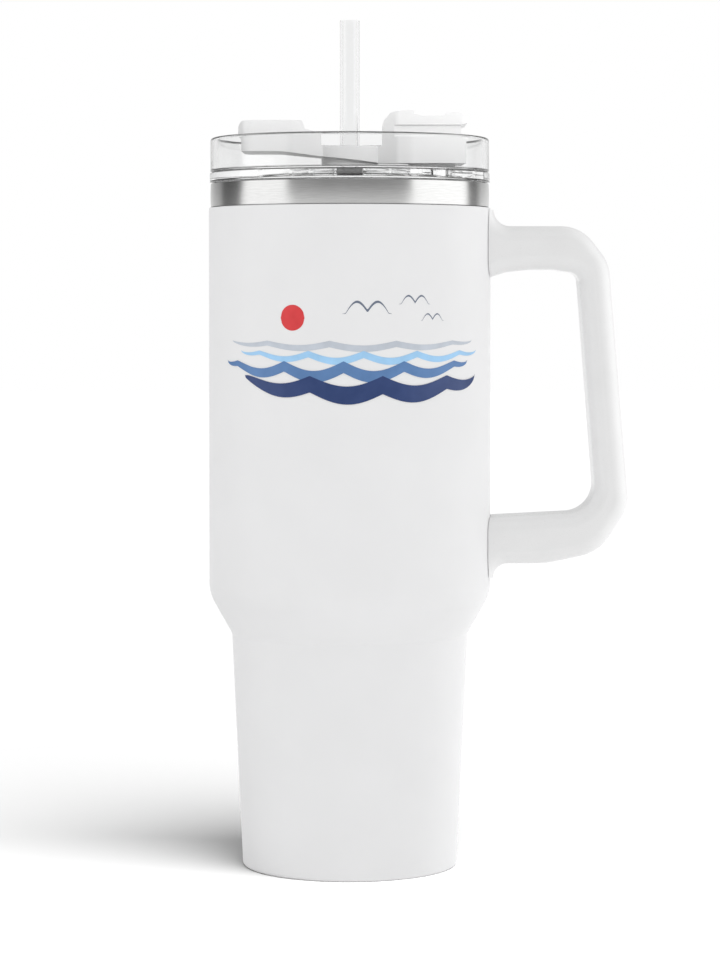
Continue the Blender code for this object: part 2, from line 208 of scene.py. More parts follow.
def objectPlace(tree, scale=(1.0, 1.0, 1.0)):
    # object coordinates, stretched
    place = addNode(tree, "ShaderNodeTexCoord")
    stretch = addNode(tree, "ShaderNodeMapping")
    stretch.inputs["Scale"].default_value = scale
    tree.links.new(place.outputs["Object"], stretch.inputs["Vector"])
    return stretch.outputs["Vector"]


def grain(tree, vector, size, detail=2.0, roughness=0.5):
    # noise whose blobs are about this many metres across
    noise = addNode(tree, "ShaderNodeTexNoise", Scale=1.0 / size, Detail=detail, Roughness=roughness)
    tree.links.new(vector, noise.inputs["Vector"])
    return noise.outputs["Fac"]


def remap(tree, value, low, high, fromLow=0.3, fromHigh=0.7):
    span = addNode(tree, "ShaderNodeMapRange")
    span.inputs["From Min"].default_value = fromLow
    span.inputs["From Max"].default_value = fromHigh
    span.inputs["To Min"].default_value = low
    span.inputs["To Max"].default_value = high
    tree.links.new(value, span.inputs["Value"])
    return span.outputs["Result"]


def blendColours(tree, factor, first, second):
    mix = addNode(tree, "ShaderNodeMix", {"data_type": "RGBA"})
    ends = [socket for socket in mix.inputs if socket.type == "RGBA"]
    ends[0].default_value = (*first, 1.0)
    ends[1].default_value = (*second, 1.0)
    tree.links.new(factor, mix.inputs["Factor"])
    return [out for out in mix.outputs if out.type == "RGBA"][0]


def addBump(tree, shader, height, distance, strength=1.0):
    bump = addNode(tree, "ShaderNodeBump", Strength=strength, Distance=distance)
    tree.links.new(height, bump.inputs["Height"])
    tree.links.new(bump.outputs["Normal"], shader.inputs["Normal"])


def powderCoat():
    # satin white powder coat with a faint orange peel
    material, tree, shader = newFinish("powderCoat", Specular_IOR_Level=0.22)
    vector = objectPlace(tree)
    peel = grain(tree, vector, 0.0007, 1.5)
    cloud = grain(tree, vector, 0.022, 3.0)
    tree.links.new(blendColours(tree, remap(tree, cloud, 0.0, 1.0), (0.825, 0.825, 0.83), (0.845, 0.845, 0.85)),
                   shader.inputs["Base Color"])
    tree.links.new(remap(tree, peel, 0.46, 0.54), shader.inputs["Roughness"])
    addBump(tree, shader, peel, 0.00002, 0.35)
    return material


def brushedSteel():
    # rings left by the polishing wheel run round the axis
    material, tree, shader = newFinish("brushedSteel", Metallic=1.0)
    rings = grain(tree, objectPlace(tree, (0.05, 0.05, 1.0)), 0.00022, 2.0)
    smudge = grain(tree, objectPlace(tree), 0.012, 2.0)
    tree.links.new(blendColours(tree, remap(tree, rings, 0.0, 1.0), (0.60, 0.60, 0.595), (0.66, 0.66, 0.655)),
                   shader.inputs["Base Color"])
    tree.links.new(remap(tree, smudge, 0.13, 0.18), shader.inputs["Roughness"])
    addBump(tree, shader, rings, 0.000004, 0.5)
    return material


def satinSteelPaintedLight():
    # the duller drawn steel inside the cup; its colour is painted lighter and part diffuse, standing in for light in
    # the shaded inside
    material, tree, shader = newFinish("satinSteelPaintedLight", Metallic=0.70)
    rings = grain(tree, objectPlace(tree, (0.05, 0.05, 1.0)), 0.0004, 2.0)
    cloud = grain(tree, objectPlace(tree), 0.010, 2.0)
    tree.links.new(blendColours(tree, remap(tree, cloud, 0.0, 1.0), (0.76, 0.76, 0.755), (0.80, 0.80, 0.795)),
                   shader.inputs["Base Color"])
    tree.links.new(remap(tree, rings, 0.30, 0.38), shader.inputs["Roughness"])
    addBump(tree, shader, rings, 0.000004, 0.5)
    return material


def mouldedWhite(name, dark, light, seamAt=None):
    # moulded plastic with fine spark texture, and the mould's parting line where there is one
    material, tree, shader = newFinish(name, Specular_IOR_Level=0.5)
    vector = objectPlace(tree)
    spark = grain(tree, vector, 0.00035, 1.0)
    flow = grain(tree, vector, 0.016, 2.0)
    tree.links.new(blendColours(tree, remap(tree, flow, 0.0, 1.0), (dark, dark, dark), (light, light, light)),
                   shader.inputs["Base Color"])
    tree.links.new(remap(tree, spark, 0.27, 0.34), shader.inputs["Roughness"])
    height = spark
    if seamAt:
        split = addNode(tree, "ShaderNodeSeparateXYZ")
        tree.links.new(vector, split.inputs["Vector"])
        away = addNode(tree, "ShaderNodeMath", {"operation": "ABSOLUTE"})
        tree.links.new(split.outputs["Y"], away.inputs[0])
        line = remap(tree, away.outputs["Value"], 6.0, 0.0, 0.0, seamAt)
        add = addNode(tree, "ShaderNodeMath", {"operation": "ADD"})
        tree.links.new(spark, add.inputs[0])
        tree.links.new(line, add.inputs[1])
        height = add.outputs["Value"]
    addBump(tree, shader, height, 0.000008, 0.4)
    return material


def clearPlastic():
    material, tree, shader = newFinish("clearPlastic", Transmission_Weight=1.0, IOR=1.52)
    vector = objectPlace(tree)
    flow = grain(tree, vector, 0.014, 1.0)
    handling = grain(tree, objectPlace(tree, (1.0, 1.0, 6.0)), 0.0011, 3.0)
    tree.links.new(blendColours(tree, flow, (0.938, 0.940, 0.940), (0.960, 0.962, 0.962)), shader.inputs["Base Color"])
    tree.links.new(remap(tree, handling, 0.0, 0.05), shader.inputs["Roughness"])
    addBump(tree, shader, flow, 0.00015, 0.25)
    return material


def milkyStraw():
    material, tree, shader = newFinish("milkyStraw", Transmission_Weight=1.0, IOR=1.30)
    vector = objectPlace(tree, (1.0, 1.0, 0.05))
    streaks = grain(tree, vector, 0.0009, 2.0)
    tree.links.new(blendColours(tree, streaks, (0.930, 0.932, 0.932), (0.945, 0.946, 0.946)), shader.inputs["Base Color"])
    tree.links.new(remap(tree, streaks, 0.0, 0.015), shader.inputs["Roughness"])
    addBump(tree, shader, streaks, 0.000002, 0.2)
    return material


def softSilicone():
    material, tree, shader = newFinish("softSilicone", Transmission_Weight=0.25, IOR=1.41)
    vector = objectPlace(tree)
    dust = grain(tree, vector, 0.0005, 3.0)
    cloud = grain(tree, vector, 0.006, 2.0)
    tree.links.new(blendColours(tree, remap(tree, cloud, 0.0, 1.0), (0.76, 0.77, 0.77), (0.81, 0.82, 0.82)),
                   shader.inputs["Base Color"])
    tree.links.new(remap(tree, dust, 0.42, 0.62), shader.inputs["Roughness"])
    addBump(tree, shader, dust, 0.00001, 0.4)
    return material


def printInk(name, colour):
    # flat ink under a matt varnish, a little uneven where the fibres of the transfer paper were
    material, tree, shader = newFinish(name)
    vector = objectPlace(tree)
    dots = grain(tree, vector, 0.0003, 1.0)
    cloud = grain(tree, vector, 0.005, 2.0)
    lighter = tuple(min(1.0, c * 1.12 + 0.008) for c in colour)
    tree.links.new(blendColours(tree, remap(tree, cloud, 0.0, 1.0), colour, lighter), shader.inputs["Base Color"])
    tree.links.new(remap(tree, dots, 0.36, 0.46), shader.inputs["Roughness"])
    addBump(tree, shader, dots, 0.000006, 0.3)
    return material


finishes = {
    "coat": powderCoat(),
    "steel": brushedSteel(),
    "innerSteelPaintedLight": satinSteelPaintedLight(),
    # one white plastic in two shades: the cover's colour is painted lighter, standing in for light the clear lid keeps
    # off it, and the handle's is painted darker for the shade on its front
    "handlePlasticPaintedShade": mouldedWhite("handlePlasticPaintedShade", 0.78, 0.80, seamAt=0.00022),
    "coverPlasticPaintedLight": mouldedWhite("coverPlasticPaintedLight", 0.90, 0.92),
    "clear": clearPlastic(),
    "straw": milkyStraw(),
    "silicone": softSilicone(),
}
print("finishes ready")


# Cup

cupWall = {
    "sheet": 0.0008,
    "topEdge": 0.00035,
    "shoulderTop": 0.0965,
    "shoulderTopRadius": 0.015,
    "shoulderFoot": 0.0822,
    "shoulderFootRadius": 0.003,
    "taperRadius": 0.0417,
    "footRadius": 0.0379,
    "footFillet": 0.0011,
    "footHole": 0.0345,
}


def makeCupWall():
    look = cupWall
    top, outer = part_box("outer_shell")[1].z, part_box("outer_shell")[1].x
    sheet, edge = look["sheet"], look["topEdge"]
    inner = outer - sheet
    profile = roundCorners([
        (outer, top, edge),
        (outer, look["shoulderTop"], look["shoulderTopRadius"]),
        (look["taperRadius"], look["shoulderFoot"], look["shoulderFootRadius"]),
        (look["footRadius"], 0.0, look["footFillet"]),
        (look["footHole"], 0.0, edge),
        (look["footHole"], sheet, edge),
        (look["footRadius"] - sheet, sheet, look["footFillet"] - sheet),
        (look["taperRadius"] - sheet, look["shoulderFoot"], look["shoulderFootRadius"] + sheet),
        (inner, look["shoulderTop"], look["shoulderTopRadius"] - sheet),
        (inner, top, edge),
    ])
    return fitPiece(turnPiece("cupWall", profile), finishes["coat"], "cup", "white_coating", "outer_shell")


rimRing = {"wall": 0.0012, "bulge": 0.00012, "rows": 8}


def makeRimRing():
    low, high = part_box("rim_band")
    outer, middle, half = high.x, (low.z + high.z) / 2, (high.z - low.z) / 2
    rows = rimRing["rows"]
    heights = [1 - 2 * i / rows for i in range(rows + 1)]
    profile = [(outer - rimRing["bulge"] * h * h, middle + half * h) for h in heights]
    profile += [(outer - rimRing["wall"], low.z), (outer - rimRing["wall"], high.z)]
    fitPiece(turnPiece("rimRing", profile), finishes["steel"], "cup", "bare_steel", "rim_band")


innerCup = {
    "sheet": 0.0008,
    "shoulderTop": 0.0985,
    "shoulderFoot": 0.0842,
    "taperRadius": 0.0379,
    "footRadius": 0.0345,
    "wallRadius": 0.0459,
    "floorFillet": 0.008,
    "lipDepth": 0.0030,
    "floorRing": 0.020,      # radius of the pressed step in the floor
    "floorStep": 0.0006,
}


def makeInnerCup():
    look = innerCup
    low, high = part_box("inner_liner")
    sheet, floor, lip, rim = look["sheet"], low.z, high.z, high.x
    wall, taper, foot, fillet = look["wallRadius"], look["taperRadius"], look["footRadius"], look["floorFillet"]
    ring, step = look["floorRing"], look["floorStep"]
    lipFoot = lip - look["lipDepth"]
    profile = roundCorners([
        (0.0, floor + sheet + step),
        (ring - 0.001, floor + sheet + step, 0.001),
        (ring, floor + sheet, 0.001),
        (foot - sheet, floor + sheet, fillet),
        (taper - sheet, look["shoulderFoot"], 0.006),
        (wall - sheet, look["shoulderTop"], 0.010),
        (wall - sheet, lip, 0.0008),
        (rim, lip, 0.0006),
        (rim, lipFoot, 0.0002),
        (rim - sheet, lipFoot, 0.0002),
        (rim - sheet, lip - sheet, 0.0001),
        (wall, lip - sheet, 0.0001),
        (wall, look["shoulderTop"], 0.010 + sheet),
        (taper, look["shoulderFoot"], 0.006 - sheet),
        (foot, floor, fillet + sheet),
        (ring, floor, 0.001),
        (ring - 0.001, floor + step, 0.001),
        (0.0, floor + step),
    ], closed=False)
    fitPiece(turnPiece("innerCup", profile, closed=False), finishes["innerSteelPaintedLight"], "cup", "bare_steel", "inner_liner")


basePlate = {
    "edge": 0.0003,
    "rings": ((0.0300, 0.0), (0.0290, 0.0005), (0.0120, 0.0005), (0.0112, 0.0002), (0.0050, 0.0002)),
    "dimpleRadius": 0.0030,
    "dimpleDepth": 0.0007,
}


def makeBasePlate():
    look = basePlate
    low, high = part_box("base_disc")
    radius, thick = high.x, high.z
    dimple = look["dimpleRadius"]
    corners = [(0.0, thick), (radius, thick, look["edge"]), (radius, 0.0, look["edge"])]
    corners += [(r, z, 0.0005) for r, z in look["rings"][:4]]
    corners += [(dimple + 0.0012, look["rings"][4][1], 0.0006), (dimple, look["dimpleDepth"], 0.0006)]
    corners.append((0.0, look["dimpleDepth"]))
    profile = roundCorners(corners, closed=False)
    fitPiece(turnPiece("basePlate", profile, closed=False), finishes["steel"], "cup", "bare_steel", "base_disc")


# the handle's corners lie in the XZ plane: x, z, rounding
handleLoop = {
    "edge": 0.0052,           # rounding of the long edges
    "edgeSteps": 10,
    "clearance": 0.0003,      # hairline between the handle and the coat
    "rootX": 0.036,           # the roots start inside the cup and are trimmed to it
    "faceX": 0.0506,
    "rootTop": 0.2322,
    "rootFoot": 0.1010,
    "upperRootFoot": 0.2082,
    "lowerTop": 0.1230,
    "outer": [                # from the upper flare round the grip to the lower flare
        (0.0506, 0.2260, 0.0058),
        (0.0813, 0.2260, 0.0140),
        (0.0912, 0.2130, 0.0140),
        (0.0983, 0.1273, 0.0125),
        (0.0880, 0.1113, 0.0160),
        (0.0690, 0.1073, 0.0300),
        (0.0506, 0.1072, 0.0050),
    ],
    "inner": [                # from the foot of the grip up and back to the cup
        (0.0869, 0.1256, 0.0100),
        (0.0804, 0.2094, 0.0038),
        (0.0715, 0.2107, 0.0100),
        (0.0635, 0.2107, 0.0100),
        (0.0548, 0.2098, 0.0100),
        (0.0500, 0.2082, 0.0040),
    ],
}


def makeHandle():
    look = handleLoop
    face, root = look["faceX"], look["rootX"]
    outline = roundCorners([
        (root, look["rootTop"]),
        (face, look["rootTop"]),
        *look["outer"],
        (face, look["rootFoot"]),
        (root, look["rootFoot"]),
        (root, look["lowerTop"]),
        *look["inner"],
        (root, look["upperRootFoot"]),
    ])
    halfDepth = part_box("handle")[1].y
    handle = slabPiece("handleLoop", outline, -halfDepth, halfDepth, upright=True)
    softenEdges(handle, look["edge"], look["edgeSteps"], 60.0, clamp=False)
    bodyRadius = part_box("outer_shell")[1].x + look["clearance"]
    body = [(0.0, 0.25), (bodyRadius, 0.25), (bodyRadius, 0.08), (0.0, 0.08)]
    cutter = turnPiece("cupCutter", body, closed=False)
    cutPiece(handle, cutter, "DIFFERENCE")
    freeze(handle, cutter)
    return fitPiece(handle, finishes["handlePlasticPaintedShade"], "cup", "white_plastic", "handle")


cupBody = makeCupWall()
makeRimRing()
makeInnerCup()
makeBasePlate()
handle = makeHandle()
print("cup ready")


# Lid

lidShell = {
    "wall": 0.0022,
    "flangeTop": 0.2446,
    "flangeFoot": 0.2412,
    "floorTop": 0.2446,
    "floorFoot": 0.2424,
    "rings": ((0.0205, 0.0216), (0.0129, 0.0140)),   # grooves in the floor, from outside inwards
    "ringDepth": 0.0011,
    "plugRadius": 0.0444,
    "plugWall": 0.0030,
    "grooveTop": 0.2399,
    "grooveFoot": 0.2357,
    "grooveDepth": 0.0014,
    "bossRadius": 0.0070,
    "bossBore": 0.0049,
    "bossTop": 0.2529,
    "bossFoot": 0.2414,
    "sipX": 0.0290,
    "sipHalfLength": 0.0050,
    "sipHalfWidth": 0.0075,
    "sipCorner": 0.0040,
}


def makeLidShell():
    look = lidShell
    low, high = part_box("lid_body")
    outer, top, foot = 0.0492, high.z, low.z
    plug, plugInner = look["plugRadius"], look["plugRadius"] - look["plugWall"]
    wallInner, floorTop = outer - look["wall"], look["floorTop"]
    ringFoot = floorTop - look["ringDepth"]
    ringCorners = []
    for near, far in reversed(look["rings"]):
        ringCorners += [(near, floorTop), (near, ringFoot, 0.0002), (far, ringFoot, 0.0002), (far, floorTop)]
    profile = roundCorners([
        (outer, top, 0.0012),
        (outer, look["flangeTop"] + 0.0006, 0.0003),
        (outer - 0.0005, look["flangeTop"] + 0.0003, 0.0001),
        (high.x, look["flangeTop"], 0.0002),
        (high.x, look["flangeFoot"], 0.0003),
        (plug, look["flangeFoot"], 0.0002),
        (plug, look["grooveTop"], 0.0002),
        (plug - look["grooveDepth"], look["grooveTop"], 0.0002),
        (plug - look["grooveDepth"], look["grooveFoot"], 0.0002),
        (plug, look["grooveFoot"], 0.0002),
        (plug, foot, 0.0006),
        (plugInner, foot, 0.0006),
        (plugInner, look["floorFoot"], 0.0015),
        (look["bossRadius"], look["floorFoot"], 0.0003),
        (look["bossRadius"], look["bossFoot"], 0.0003),
        (look["bossBore"], look["bossFoot"], 0.0003),
        (look["bossBore"], look["bossTop"], 0.0003),
        (look["bossRadius"], look["bossTop"], 0.0003),
        (look["bossRadius"], floorTop, 0.0005),
        *ringCorners,
        (wallInner, floorTop, 0.0015),
        (wallInner, top, 0.0006),
    ])
    lid = turnPiece("lidShell", profile)
    sip = roundedBox(look["sipX"], look["sipHalfLength"], look["sipHalfWidth"], look["sipCorner"])
    cutter = slabPiece("sipCutter", sip, look["floorFoot"] - 0.002, floorTop + 0.002)
    cutPiece(lid, cutter, "DIFFERENCE")
    freeze(lid, cutter)
    fitPiece(lid, finishes["clear"], "lid", "clear_plastic", "lid_body")


sealRing = {"lips": 3, "groove": 0.0006}


def makeSealRing():
    low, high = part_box("lid_seal")
    inner = lidShell["plugRadius"] - lidShell["grooveDepth"] + 0.0003
    outer, height = high.x, high.z - low.z
    lips = sealRing["lips"]
    corners = [(inner, low.z), (inner, high.z)]
    for i in range(lips):
        crest = high.z - height * (i + 0.5) / lips
        reach = height / lips / 2
        corners.append((outer - sealRing["groove"], crest + reach * 0.75, 0.0001))
        corners.append((outer, crest + reach * 0.3, 0.0002))
        corners.append((outer, crest - reach * 0.3, 0.0002))
        corners.append((outer - sealRing["groove"], crest - reach * 0.75, 0.0001))
    profile = roundCorners(corners)
    fitPiece(turnPiece("sealRing", profile), finishes["silicone"], "lid", "silicone", "lid_seal")


strawGrommet = {"bore": 0.00375, "sleeve": 0.0046, "flangeFoot": 0.2532, "beadTop": 0.2411, "edge": 0.0003}


def makeStrawGrommet():
    look = strawGrommet
    low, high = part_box("straw_grommet")
    edge = look["edge"]
    profile = roundCorners([
        (high.x, high.z, edge),
        (high.x, look["flangeFoot"], edge),
        (look["sleeve"], look["flangeFoot"], 0.0002),
        (look["sleeve"], look["beadTop"], 0.0002),
        (0.0058, look["beadTop"], edge),
        (0.0053, low.z, edge),
        (look["bore"], low.z, 0.0002),
        (look["bore"], high.z, edge),
    ])
    fitPiece(turnPiece("strawGrommet", profile, steps=96), finishes["silicone"], "lid", "silicone", "straw_grommet")


# the cover's side outline is x, z, rounding, and its plan is x, y, rounding
swivelCover = {
    "edge": 0.0006,
    "edgeSteps": 4,
    "halfDepth": 0.020,       # the side outline is this deep before it is trimmed in plan
    "side": [
        (0.0402, 0.2478),             # outer end of the knob's foot
        (0.0402, 0.2560),
        (0.0388, 0.2570),             # neck below the finger lip
        (0.0388, 0.2612),
        (0.0410, 0.2618),
        (0.0409, 0.2641, 0.0010),
        (0.0382, 0.2655),
        (0.0339, 0.2656),
        (0.0326, 0.2644),             # finger hollow in the top
        (0.0255, 0.2643),
        (0.0225, 0.2650),
        (0.0224, 0.2662),
        (0.0195, 0.2664),
        (0.0143, 0.2656, 0.0020),
        (0.0116, 0.2625, 0.0020),
        (0.0116, 0.2540, 0.0012),     # deck round the straw
        (-0.0102, 0.2540),
        (-0.0102, 0.2585, 0.0004),
        (-0.0157, 0.2601),
        (-0.0167, 0.2629),            # low tab
        (-0.0392, 0.2629, 0.0026),
        (-0.0392, 0.2575, 0.0010),
        (-0.0378, 0.2563),
        (-0.0376, 0.2520),
        (-0.0240, 0.2520, 0.0200),    # the underside slopes from the tab down to the knob
        (0.0125, 0.2478, 0.0200),
    ],
    "knobPlan": [(0.0430, 0.0), (0.0430, 0.0140, 0.0040), (0.0165, 0.0140, 0.0025)],
    "tabPlan": [(-0.0200, 0.0130, 0.0040), (-0.0372, 0.0130, 0.0050), (-0.0410, 0.0)],
    "knobRoot": 0.0085,       # half width where each wing meets the hub
    "tabRoot": 0.0090,
    "knobFoot": 0.2478,
    "hubRadius": 0.0130,
    "recessRadius": 0.0098,
    "recessFoot": 0.2529,
    "bearingRadius": 0.0100,
    "bearingTop": 0.2520,
    "bore": 0.0073,
    "lipGroove": (0.0155, 0.0450, 0.2571, 0.2612, 0.0131),   # x and z span below the lip, half width left
    "padPocket": (0.0085, 0.0095, 0.0045, 0.0013),   # half length, half width, corner, depth
}


def makeSwivelCover():
    look = swivelCover
    foot, hub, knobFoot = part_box("swivel_cover")[0].z, look["hubRadius"], look["knobFoot"]
    side = roundCorners(look["side"])
    knobMeet = math.degrees(math.asin(look["knobRoot"] / hub))
    tabMeet = 180 - math.degrees(math.asin(look["tabRoot"] / hub))
    half = look["knobPlan"] + arcPoints((0.0, 0.0), hub, knobMeet, tabMeet) + look["tabPlan"]
    mirrored = [(corner[0], -corner[1], *corner[2:]) for corner in reversed(half[1:-1])]
    plan = roundCorners(half + mirrored)
    deep = look["halfDepth"]
    cover = slabPiece("swivelCover", side, -deep, deep, upright=True)
    planTool = slabPiece("planTool", plan, foot - 0.01, 0.28)
    cutPiece(cover, planTool, "INTERSECT")
    left, right, low, high, inset = look["lipGroove"]
    slot = [(left, low), (right, low), (right, high), (left, high)]
    grooves = [slabPiece("grooveTool", slot, near, near + deep, upright=True) for near in (inset, -inset - deep)]
    for groove in grooves:
        cutPiece(cover, groove, "DIFFERENCE")
    freeze(cover, planTool, *grooves)
    softenEdges(cover, look["edge"], look["edgeSteps"], 35.0)
    ring, ringTop = look["bearingRadius"], look["bearingTop"]
    bearing = roundCorners([(0.0, ringTop), (ring, ringTop), (ring, foot, 0.0004), (0.0, foot)], closed=False)
    bearingTool = turnPiece("bearingTool", bearing, closed=False)
    cutPiece(cover, bearingTool, "UNION")
    hubHole = [
        (0.0, 0.2600),
        (look["recessRadius"], 0.2600),
        (look["recessRadius"], look["recessFoot"]),
        (look["bore"], look["recessFoot"]),
        (look["bore"], foot - 0.001),
        (0.0, foot - 0.001),
    ]
    hubTool = turnPiece("hubTool", hubHole, closed=False)
    cutPiece(cover, hubTool, "DIFFERENCE")
    halfX, halfY, corner, depth = look["padPocket"]
    pocketTool = slabPiece("pocketTool", roundedBox(lidShell["sipX"], halfX, halfY, corner),
                           knobFoot - depth, knobFoot + depth)
    cutPiece(cover, pocketTool, "DIFFERENCE")
    freeze(cover, bearingTool, hubTool, pocketTool)
    return fitPiece(cover, finishes["coverPlasticPaintedLight"], "cover", "white_plastic", "swivel_cover")


sipPad = {"edge": 0.0004}


def makeSipPad():
    low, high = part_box("sip_seal")
    halfX, halfY = (high.x - low.x) / 2, (high.y - low.y) / 2
    outline = roundedBox((high.x + low.x) / 2, halfX, halfY, 0.0045)
    pad = slabPiece("sipPad", outline, low.z, high.z)
    softenEdges(pad, sipPad["edge"], 4, 50.0)
    freeze(pad)
    fitPiece(pad, finishes["silicone"], "cover", "silicone", "sip_seal")


strawTube = {"bore": 0.0026, "lip": 0.0003}


def makeStraw():
    low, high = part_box("straw")
    bore, lip = strawTube["bore"], strawTube["lip"]
    profile = roundCorners([
        (high.x, high.z, lip),
        (high.x, low.z, lip),
        (bore, low.z, lip),
        (bore, high.z, lip),
    ])
    fitPiece(turnPiece("strawTube", profile, steps=96), finishes["straw"], "straw", "frosted_plastic", "straw")


makeLidShell()
makeSealRing()
makeStrawGrommet()
cover = makeSwivelCover()
makeSipPad()
makeStraw()
print("lid, cover and straw ready")


# Printed design: rolling waves, a low sun and gulls, in ink on the coat

inks = {
    "navy": (0.010, 0.035, 0.14),
    "steelBlue": (0.085, 0.19, 0.40),
    "skyBlue": (0.33, 0.58, 0.84),
    "paleGrey": (0.50, 0.54, 0.60),
    "slate": (0.13, 0.16, 0.22),
    "red": (0.62, 0.03, 0.035),
}

seaPrint = {
    "lift": 0.00003,      # the ink stands this far off the coat
    "thickness": 0.00003,
    "layer": 0.00004,     # each wave band lies this much further out than the one behind it
    "step": 0.0004,
}


def inkStrip(name, ink, start, end, lowCurve, highCurve, layer=0):
    # a patch of ink wrapped round the cup, between two curves over the distance along the wall
    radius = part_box("outer_shell")[1].x
    back = seaPrint["lift"] + layer * seaPrint["layer"]
    columns = max(4, math.ceil((end - start) / seaPrint["step"]))
    bm = bmesh.new()
    rows = []
    for i in range(columns + 1):
        along = start + (end - start) * i / columns
        low, high = lowCurve(along), highCurve(along)
        if high - low < 0.00004:
            middle = (high + low) / 2
            low, high = middle - 0.00002, middle + 0.00002
        ring = []
        for lift in (back + seaPrint["thickness"], back):
            r, angle = radius + lift, along / radius
            x, y = r * math.sin(angle), -r * math.cos(angle)
            ring.append((bm.verts.new((x, y, low)), bm.verts.new((x, y, high))))
        rows.append(ring)
    for (front, rear), (nextFront, nextRear) in zip(rows, rows[1:]):
        bm.faces.new((front[0], nextFront[0], nextFront[1], front[1]))
        bm.faces.new((rear[1], nextRear[1], nextRear[0], rear[0]))
        bm.faces.new((front[1], nextFront[1], nextRear[1], rear[1]))
        bm.faces.new((rear[0], nextRear[0], nextFront[0], front[0]))
    for front, rear in (rows[0], rows[-1]):
        bm.faces.new((front[0], front[1], rear[1], rear[0]))
    piece = newPiece(name, bm)
    return fitPiece(piece, finishes[ink], "cup", None)


for inkName, inkColour in inks.items():
    finishes[inkName] = printInk(inkName + "Ink", inkColour)


def fadeEnds(along, start, end):
    # 1 in the middle, 0 at both ends
    t = 2 * (along - start) / (end - start) - 1
    return math.sqrt(max(0.0, 1 - t * t))


# each band: name, ink, start, end, height of its crests, wave height, wave length, phase, depth
waveBands = [
    ("farWave", "paleGrey", -0.047, 0.050, 0.1862, 0.0016, 0.0230, 0.30, 0.0022),
    ("midWave", "skyBlue", -0.042, 0.053, 0.1828, 0.0024, 0.0190, 0.75, 0.0024),
    ("steelWave", "steelBlue", -0.050, 0.047, 0.1793, 0.0034, 0.0210, 0.10, 0.0040),
    ("navyWave", "navy", -0.040, 0.052, 0.1743, 0.0036, 0.0250, 0.55, 0.0062),
]


def makeWaves():
    for layer, (name, ink, start, end, crest, wave, length, phase, depth) in enumerate(waveBands):
        def high(along, crest=crest, wave=wave, length=length, phase=phase, start=start, end=end):
            swing = abs(math.sin(math.pi * (along / length + phase)))
            return crest - wave * swing * fadeEnds(along, start, end)

        def low(along, high=high, depth=depth, start=start, end=end):
            return high(along) - depth * fadeEnds(along, start, end)

        inkStrip(name, ink, start, end, low, high, layer)


def makeSun():
    radius, centre, height = 0.0044, -0.0200, 0.1940
    reach = radius * 0.9999

    def high(along):
        return height + math.sqrt(max(0.0, radius ** 2 - (along - centre) ** 2))

    def low(along):
        return height - math.sqrt(max(0.0, radius ** 2 - (along - centre) ** 2))

    inkStrip("lowSun", "red", centre - reach, centre + reach, low, high)


gulls = [(0.006, 0.1962, 0.0085), (0.023, 0.1992, 0.0060), (0.030, 0.1935, 0.0048)]


def makeGulls():
    # each gull is two bent wings that meet at its body
    for count, (centre, height, span) in enumerate(gulls, 1):
        def middle(along, centre=centre, height=height, span=span):
            t = abs(along - centre) / span
            return height + span * (0.42 * math.sin(math.pi * min(1.0, t * 1.15)) - 0.10 * t)

        def low(along, middle=middle, centre=centre, span=span):
            return middle(along) - span * 0.055 * (1 - (abs(along - centre) / span) ** 2)

        def high(along, middle=middle, centre=centre, span=span):
            return middle(along) + span * 0.055 * (1 - (abs(along - centre) / span) ** 2)

        inkStrip(f"gull{count}", "slate", centre - span, centre + span, low, high)


makeWaves()
makeSun()
makeGulls()
print("printed design ready")


# Room, light and camera

floorLook = {
    "size": 12.0,
    "seen": 0.27,             # colour for the camera
    "returned": 0.19,         # colour for the light it sends back up to the cup
    "fadeStart": 0.32,        # far from the cup the floor turns into plain white
    "fadeEnd": 0.65,
    "white": 1.05,
}


def makeFloor():
    material, tree, shader = newFinish("paleFloor", Roughness=0.9)
    shader.inputs["Specular IOR Level"].default_value = 0.0
    seen = addNode(tree, "ShaderNodeLightPath").outputs["Is Camera Ray"]
    dim, bright = (floorLook["returned"],) * 3, (floorLook["seen"],) * 3
    tree.links.new(blendColours(tree, seen, dim, bright), shader.inputs["Base Color"])
    place = addNode(tree, "ShaderNodeTexCoord")
    far = addNode(tree, "ShaderNodeVectorMath", {"operation": "LENGTH"})
    tree.links.new(place.outputs["Object"], far.inputs[0])
    fade = remap(tree, far.outputs["Value"], 0.0, 1.0, floorLook["fadeStart"], floorLook["fadeEnd"])
    white = addNode(tree, "ShaderNodeEmission", Strength=floorLook["white"])
    mix = addNode(tree, "ShaderNodeMixShader")
    tree.links.new(fade, mix.inputs["Fac"])
    tree.links.new(shader.outputs["BSDF"], mix.inputs[1])
    tree.links.new(white.outputs["Emission"], mix.inputs[2])
    tree.links.new(mix.outputs["Shader"], tree.nodes["Material Output"].inputs["Surface"])
    half = floorLook["size"] / 2
    bm = bmesh.new()
    bm.faces.new([bm.verts.new(c) for c in ((-half, -half, 0), (half, -half, 0), (half, half, 0), (-half, half, 0))])
    floor = newPiece("floor", bm)
    floor.data.materials.append(material)
    floor.visible_glossy = False
    return floor


